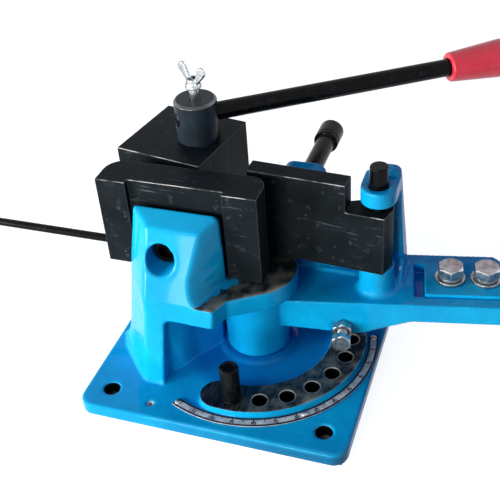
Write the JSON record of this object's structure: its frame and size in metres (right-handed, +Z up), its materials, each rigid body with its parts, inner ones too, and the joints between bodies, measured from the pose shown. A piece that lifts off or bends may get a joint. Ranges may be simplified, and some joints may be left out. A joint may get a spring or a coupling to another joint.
{
  "type": "manual metal bender",
  "caption": "Bench bender for flat bar: cast base with upright, black jaw blocks with an eccentric lever clamp, and a swinging arm with bending plate, angle scale and stop pin.",
  "frame": {"origin": "the swinging arm's pivot axis at the underside of the base, on the bench", "axes": "+Z up, +X along the front block towards the swinging arm and its handle, +Y away from the front"},
  "size_m": [0.7712, 0.33, 0.2073],
  "materials": {
    "blue_enamel": "gloss",
    "black_steel": "satin",
    "zinc_plate": "satin",
    "bright_steel": "satin",
    "scale_strip": "satin",
    "rivet_metal": "satin",
    "red_grip": "gloss"
  },
  "bodies": {
    "base": {"base_casting": "blue_enamel", "angle_scale": "scale_strip", "scale_rivet_1": "rivet_metal", "scale_rivet_2": "rivet_metal", "scale_rivet_3": "rivet_metal", "front_block": "black_steel", "front_block_screw": "black_steel", "pivot_pin": "bright_steel", "length_stop_rod": "black_steel"},
    "stop_pin_body": {"stop_pin": "black_steel"},
    "length_stop_body": {"length_stop": "black_steel", "length_stop_screw": "black_steel"},
    "clamp_shaft": {"eccentric_shaft": "black_steel", "shaft_washer": "zinc_plate", "shaft_nut": "zinc_plate"},
    "clamp_jaw": {"clamp_block": "black_steel"},
    "clamp_lever": {"lever_rod": "black_steel", "lever_grip": "red_grip"},
    "lever_lock": {"wing_screw": "zinc_plate"},
    "arm": {"arm_casting": "blue_enamel", "handle_bar": "blue_enamel", "handle_grip": "red_grip", "handle_bolt_1": "zinc_plate", "handle_bolt_2": "zinc_plate", "handle_washer_1": "zinc_plate", "handle_washer_2": "zinc_plate", "spring_washer_1": "zinc_plate", "spring_washer_2": "zinc_plate", "stop_bolt_nut": "zinc_plate"},
    "bend_plate": {"bending_plate": "black_steel"},
    "hinge_pin": {"plate_hinge_pin": "black_steel"},
    "plate_adjuster": {"adjusting_screw": "black_steel"},
    "arm_stop": {"stop_bolt": "zinc_plate"}
  },
  "joints": [
    {"name": "arm_swing", "type": "hinge", "parent": "base", "child": "arm", "pos_m": [0, 0, 0.038], "axis": [0, 0, 1], "range_deg": [-64.8, 4]},
    {"name": "lever_turn", "type": "hinge", "parent": "base", "child": "clamp_shaft", "pos_m": [-0.0544, 0.0513, 0.1], "axis": [0, 0, 1], "range_deg": [-70, 80]},
    {"name": "jaw_follow", "type": "hinge", "parent": "clamp_shaft", "child": "clamp_jaw", "pos_m": [-0.05111, 0.0501, 0.115], "axis": [0, 0, 1], "range_deg": [-91.5, 80.1]},
    {"name": "lever_slide", "type": "slide", "parent": "clamp_shaft", "child": "clamp_lever", "axis": [0.8297, 0.5582, 0], "range_m": [-0.17, 0.01]},
    {"name": "wing_turn", "type": "hinge", "parent": "clamp_shaft", "child": "lever_lock", "pos_m": [-0.0544, 0.0513, 0.2], "axis": [0, 0, 1], "continuous": true},
    {"name": "stop_pin_lift", "type": "slide", "parent": "base", "child": "stop_pin_body", "axis": [0, 0, 1], "range_m": [0, 0.03]},
    {"name": "length_stop_slide", "type": "slide", "parent": "base", "child": "length_stop_body", "axis": [1, 0, 0], "range_m": [-0.018, 0.12]},
    {"name": "plate_advance", "type": "slide", "parent": "arm", "child": "plate_adjuster", "axis": [0, -1, 0], "range_m": [-0.004, 0.002]},
    {"name": "plate_tilt", "type": "hinge", "parent": "arm", "child": "bend_plate", "pos_m": [0.0842, 0.0235, 0.105], "axis": [0, 0, 1], "range_deg": [-4.05, 2.03]},
    {"name": "hinge_pin_lift", "type": "slide", "parent": "arm", "child": "hinge_pin", "axis": [0, 0, 1], "range_m": [0, 0.1]},
    {"name": "stop_bolt_adjust", "type": "slide", "parent": "arm", "child": "arm_stop", "axis": [0.1891, -0.982, 0], "range_m": [-0.006, 0]}
  ],
  "couplings": [
    {"joint": "jaw_follow", "follows": "lever_turn", "ratio": -1.1429},
    {"joint": "plate_tilt", "follows": "plate_advance", "rad_per_m": 17.637}
  ]
}
